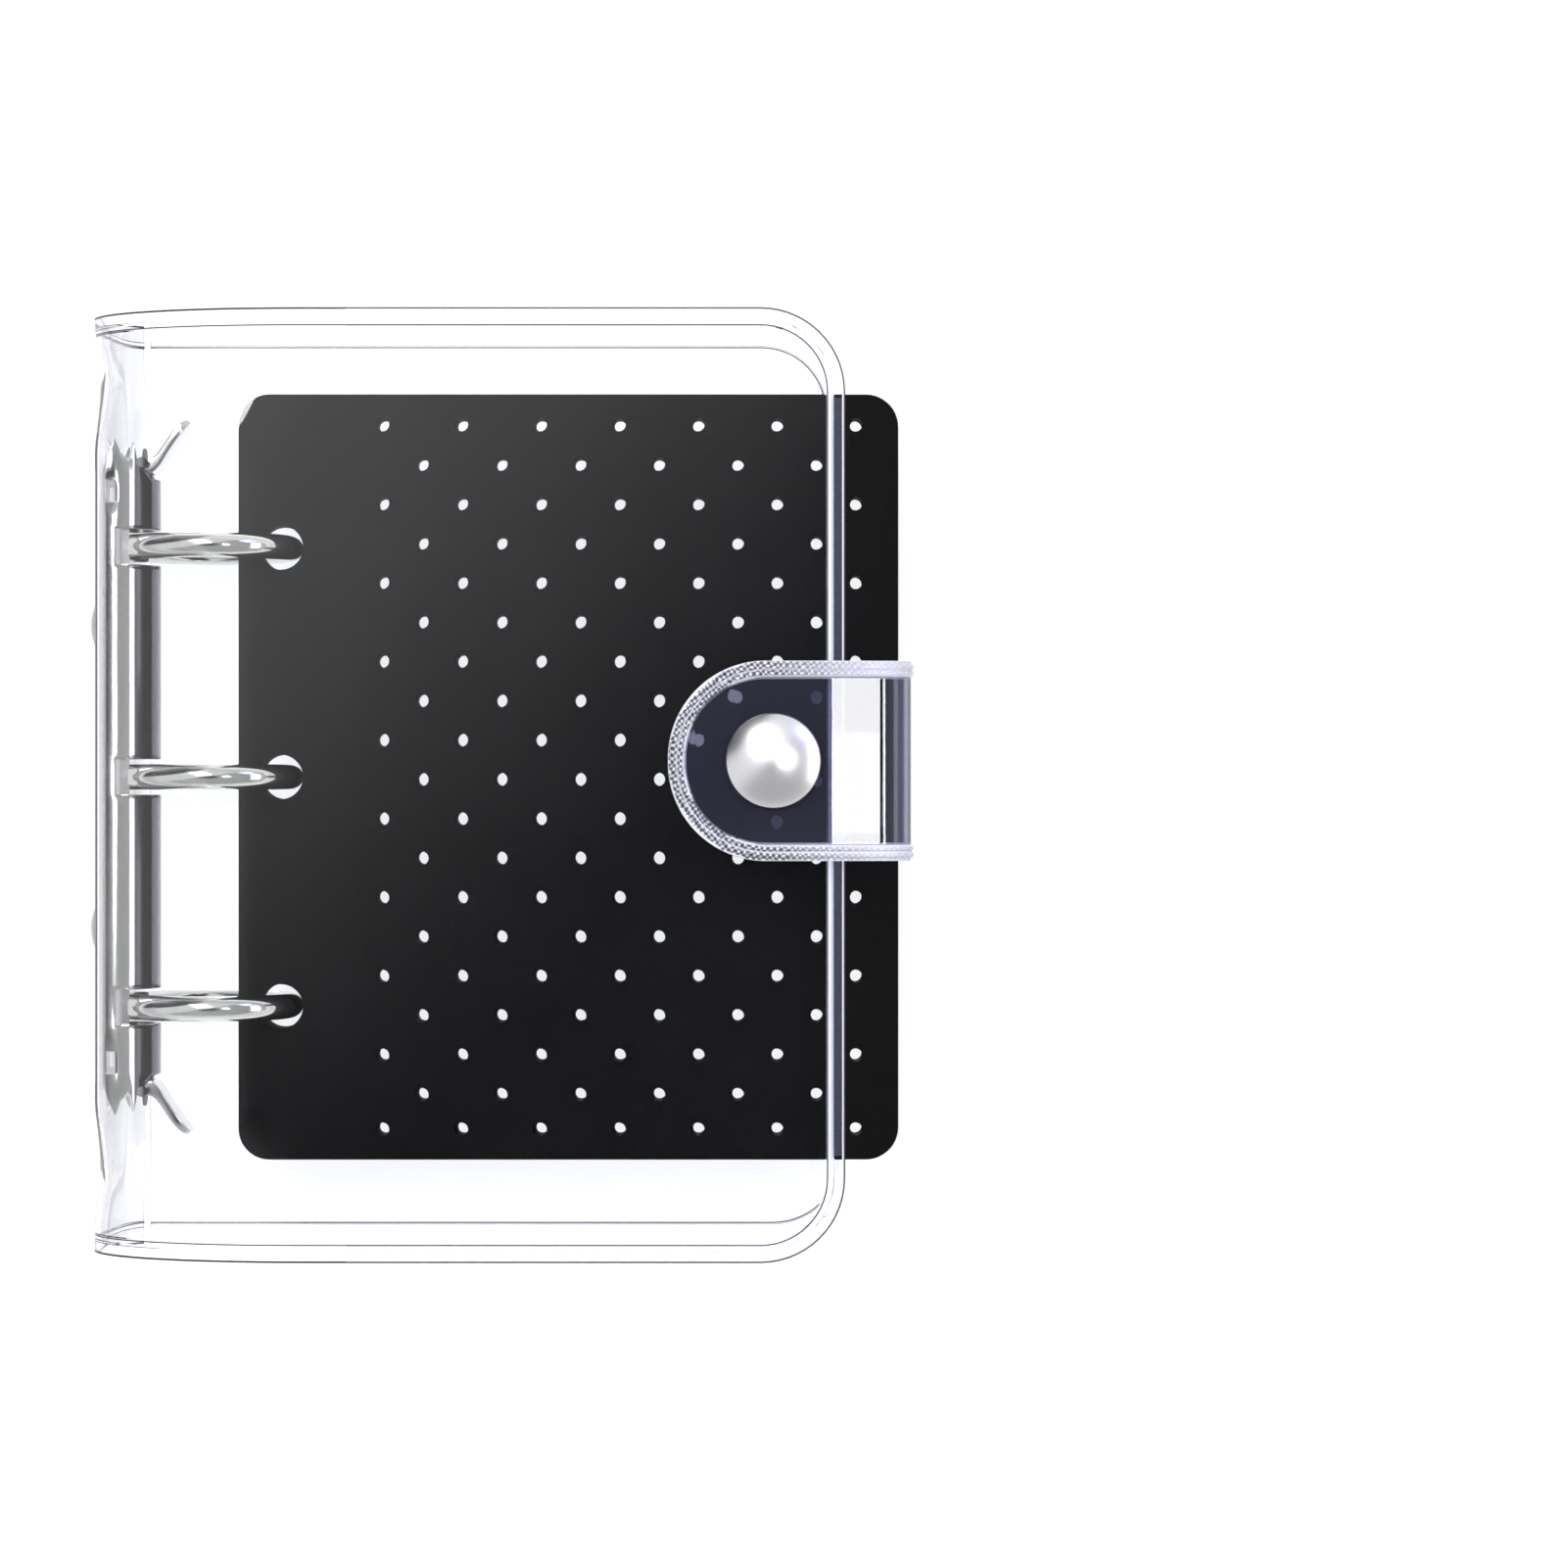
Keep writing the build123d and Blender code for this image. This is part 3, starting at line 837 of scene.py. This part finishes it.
def make_lever(end):
    """A thumb lever bent from plated strip: arm, hub and a curved tab with a rounded end."""
    node = "lever_" + end
    width = (high(node).z - low(node).z) / 2
    ways = [Vector(b) - Vector(a) for a, b in zip(lever_points, lever_points[1:])]
    ways = [ways[0]] + [a.normalized() + b.normalized() for a, b in zip(ways, ways[1:])] + [ways[-1]]
    sides = [Vector((-way.y, way.x, 0)).normalized() for way in ways]
    rest()
    start = Vector((*lever_points[0], middle_z))
    turn = math.atan2(ways[0].y, ways[0].x)
    bpy.ops.mesh.primitive_plane_add(size=mm, location=start * mm, rotation=(0, math.pi / 2, turn))
    piece = bpy.context.object
    piece.name = node + "_tab"
    settle(piece)
    edit(piece)
    bpy.ops.mesh.select_all(action="SELECT")
    before, before_side = start, sides[0]
    for n, (place, half) in enumerate(zip(lever_points, lever_half_thick)):
        if n:
            bpy.ops.mesh.extrude_region_move()
        narrow = width * {len(sides) - 1: 0.72, len(sides) - 2: 0.93}.get(n, 1.0)
        here = Vector((*place, middle_z))
        shape = bmesh.from_edit_mesh(piece.data)
        for point in [point for point in shape.verts if point.select]:
            off = point.co / mm - before
            out = half if off.dot(before_side) > 0 else -half
            up = narrow if off.z > 0 else -narrow
            point.co = (here + sides[n] * out + Vector((0, 0, up))) * mm
        bmesh.update_edit_mesh(piece.data)
        before, before_side = here, sides[n]
    rest()
    if end == "lower":
        for point in piece.data.vertices:
            point.co.y = 2 * mechanism_y * mm - point.co.y
    outward(piece)
    soften(piece, 0.22)
    modify(piece, "SUBSURF", levels=2, render_levels=2)
    dress(piece, shell_plate)
    smooth(piece, 60)
    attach(piece, node)
    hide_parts(node)


# Pages
def make_page(number):
    """One punched page with eased edges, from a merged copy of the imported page."""
    node = f"page_{number}"
    rest()
    piece = frame["nodes"][node].copy()
    piece.data = piece.data.copy()
    piece.name = f"punched_page_{number}"
    piece.parent = None
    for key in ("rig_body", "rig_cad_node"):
        del piece[key]
    bpy.context.scene.collection.objects.link(piece)
    edit(piece)
    bpy.ops.mesh.select_all(action="SELECT")
    bpy.ops.mesh.remove_doubles(threshold=0.0005 * mm)
    bpy.ops.mesh.dissolve_limited(angle_limit=math.radians(0.5))
    rest()
    soften(piece, 0.14, 60)
    dress(piece, black_page)
    smooth(piece, 20)
    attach(piece, node)
    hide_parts(node)


# Stage, lamps and camera
def make_stage():
    """A wide pale table just under the book."""
    rest()
    bpy.ops.mesh.primitive_plane_add(size=4, location=(0, 0, -0.02 * mm))
    table = bpy.context.object
    table.name = "pale_table"
    material, tree, output = new_material("pale_table_paint")
    seen = add(tree, "LightPath")
    passed = add(tree, "Math", {0: seen.outputs["Is Transmission Ray"], 1: seen.outputs["Is Glossy Ray"]},
                 operation="ADD", use_clamp=True)
    paint_coat = add(tree, "BsdfDiffuse", {"Color": colour("#9c9c9c")})
    glow_level = add(tree, "Math", {0: seen.outputs["Is Camera Ray"], 1: 0.78, 2: passed.outputs[0]},
                     operation="MULTIPLY_ADD")
    glow = add(tree, "Emission", {"Color": (1, 1, 1, 1), "Strength": glow_level.outputs[0]})
    both = add(tree, "AddShader", {0: paint_coat.outputs[0], 1: glow.outputs[0]})
    tree.links.new(both.outputs[0], output.inputs["Surface"])
    dress(table, material)


def grey_ramp(tree, value, steps):
    """A ramp of greys over a value, from steps of (place, level)."""
    ramp = add(tree, "ValToRGB", {"Fac": value})
    points = ramp.color_ramp.elements
    for n, (place, level) in enumerate(steps):
        point = points[n] if n < 2 else points.new(place)
        point.position = place
        point.color = (level, level, level, 1)
    return ramp.outputs["Color"]


def make_world():
    """A white room for the eye. Metal and vinyl mirror grey walls, a softbox and a black flag."""
    world = bpy.data.worlds.new("soft_room")
    bpy.context.scene.world = world
    world.use_nodes = True
    tree = world.node_tree
    tree.nodes.clear()
    seen = add(tree, "LightPath")
    way = add(tree, "TexCoord").outputs["Generated"]
    parts = add(tree, "SeparateXYZ", {"Vector": way})
    slant = add(tree, "Math", {0: parts.outputs["Y"], 1: parts.outputs["X"]}, operation="SUBTRACT")
    upper_left = add(tree, "Math", {0: slant.outputs[0], 1: math.sqrt(0.5)}, operation="MULTIPLY")
    share = add(tree, "MapRange", {"Value": upper_left.outputs[0], "From Min": 0.0, "From Max": 0.17},
                interpolation_type="SMOOTHSTEP")
    walls = grey_ramp(tree, parts.outputs["Z"], (
        (0.0, 1.0), (0.3, 1.0), (0.45, 0.55), (0.95, 0.5), (0.985, 0.0)))
    softbox = grey_ramp(tree, upper_left.outputs[0], (
        (0.0, 1.0), (0.68, 1.0), (0.76, 0.02), (0.95, 0.02), (1.0, 0.6)))
    mirrored = add(tree, "MixRGB", {"Fac": share.outputs[0], "Color1": walls, "Color2": softbox})
    plain = add(tree, "Background", {"Color": (1, 1, 1, 1), "Strength": 0.55})
    mirror = add(tree, "Background", {"Color": mirrored.outputs[0], "Strength": 1.0})
    white = add(tree, "Background", {"Color": (1, 1, 1, 1), "Strength": 1.0})
    bounced = add(tree, "Math", {0: seen.outputs["Is Glossy Ray"], 1: seen.outputs["Is Transmission Ray"]},
                  operation="ADD", use_clamp=True)
    room = add(tree, "MixShader", {0: bounced.outputs[0], 1: plain.outputs[0], 2: mirror.outputs[0]})
    shown = add(tree, "MixShader", {
        0: seen.outputs["Is Camera Ray"], 1: room.outputs[0], 2: white.outputs[0]})
    output = tree.nodes.new("ShaderNodeOutputWorld")
    tree.links.new(shown.outputs[0], output.inputs["Surface"])


def lamp(name, place, aim, size, watts, tint="#ffffff"):
    """A soft rectangular lamp. Its size is its breadth and height, seen from the place that it lights."""
    data = bpy.data.lights.new(name, "AREA")
    data.shape = "RECTANGLE"
    data.size = size[0] * mm
    data.size_y = size[1] * mm
    data.energy = watts
    data.color = colour(tint)[:3]
    body = bpy.data.objects.new(name, data)
    bpy.context.scene.collection.objects.link(body)
    body.location = Vector(place) * mm
    body.rotation_euler = (Vector(aim) - Vector(place)).to_track_quat("-Z", "Y").to_euler()


def make_lamps():
    """A large soft key from above, a weak lavender fill, a strip for the strap's facet and a side card."""
    lamp("key_softbox", (-150, 360, 680), (0, 0, 10), (240, 420), 3.8)
    lamp("fill_softbox", (490, 420, 385), (40, 0, 30), (220, 220), 0.5, "#b9beff")
    lamp("strap_strip", (198, 33, 560), (52, 3, 34), (120, 70), 0.66)
    lamp("side_card", (520, 0, 300), (-45, 0, 16), (500, 150), 0.6)


def make_camera():
    """The photograph's camera, straight above the front cover."""
    data = bpy.data.cameras.new("camera")
    # The photograph is 1601 pixels wide, and a pixel is 0.13 mm at the front cover's height
    photo_width = 1601 * 0.13
    data.sensor_width = 36
    data.lens = data.sensor_width * 597 / photo_width
    data.clip_start = 0.01
    data.clip_end = 10
    camera = bpy.data.objects.new("camera", data)
    bpy.context.scene.collection.objects.link(camera)
    camera.location = Vector((open_x - 8.1, 0.15, cover_top + 595)) * mm
    bpy.context.scene.camera = camera


bpy.context.scene.view_settings.view_transform = "Standard"
make_camera()
make_stage()
make_world()
make_lamps()
make_front_and_spine()
make_back()
make_strap()
make_tongue()
make_cap()
for end in ("upper", "lower"):
    make_rivet(end)
    make_lever(end)
make_shell()
for number in range(1, 7):
    make_page(number)

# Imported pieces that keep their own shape
kept = {"ring_front_1": ring_plate, "ring_front_2": ring_plate, "ring_front_3": ring_plate,
        "ring_back_1": ring_plate, "ring_back_2": ring_plate, "ring_back_3": ring_plate,
        "rail_front": shell_plate, "rail_back": shell_plate,
        "lever_pin_upper": rivet_plate, "lever_pin_lower": rivet_plate,
        "snap_socket": rivet_plate, "snap_stud": rivet_plate, "snap_washer": rivet_plate}
for node, finish in kept.items():
    dress(frame["nodes"][node], finish)
